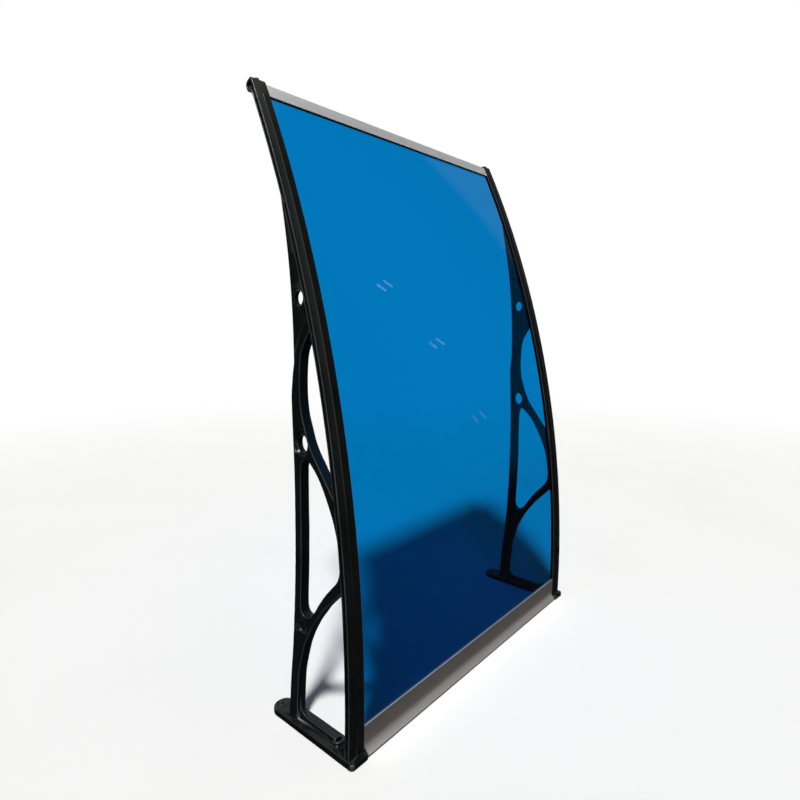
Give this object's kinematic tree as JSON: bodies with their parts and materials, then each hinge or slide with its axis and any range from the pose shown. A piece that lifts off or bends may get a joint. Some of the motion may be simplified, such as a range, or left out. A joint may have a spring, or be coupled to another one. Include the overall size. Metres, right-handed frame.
{
  "type": "polycarbonate door canopy",
  "caption": "Curved polycarbonate door canopy: a blue sheet in two moulded black brackets with wall plates, aluminium strips at the wall and the front edge, and rubber seals.",
  "frame": {"origin": "middle of the canopy's footprint, on the plane of the wall plates' undersides", "axes": "+Z away from the wall, X along the wall, -Y on the weather side, up when the canopy hangs on its wall"},
  "size_m": [0.644, 0.2128, 0.9528],
  "materials": {
    "bracket_plastic": "moulded black plastic, satin",
    "polycarbonate": "solid clear blue polycarbonate, polished",
    "anodised_aluminium": "extruded, matt anodised",
    "seal_rubber": "matt black rubber",
    "screw_steel": "blackened steel"
  },
  "bodies": {
    "root": {"bracket_left": "bracket_plastic", "bracket_right": "bracket_plastic", "roof_sheet": "polycarbonate", "front_strip": "anodised_aluminium", "rear_strip": "anodised_aluminium", "front_seal": "seal_rubber", "rear_seal": "seal_rubber", "wall_seal": "seal_rubber", "front_left_screw": "screw_steel", "front_right_screw": "screw_steel", "rear_left_screw": "screw_steel", "rear_right_screw": "screw_steel"}
  },
  "joints": []
}
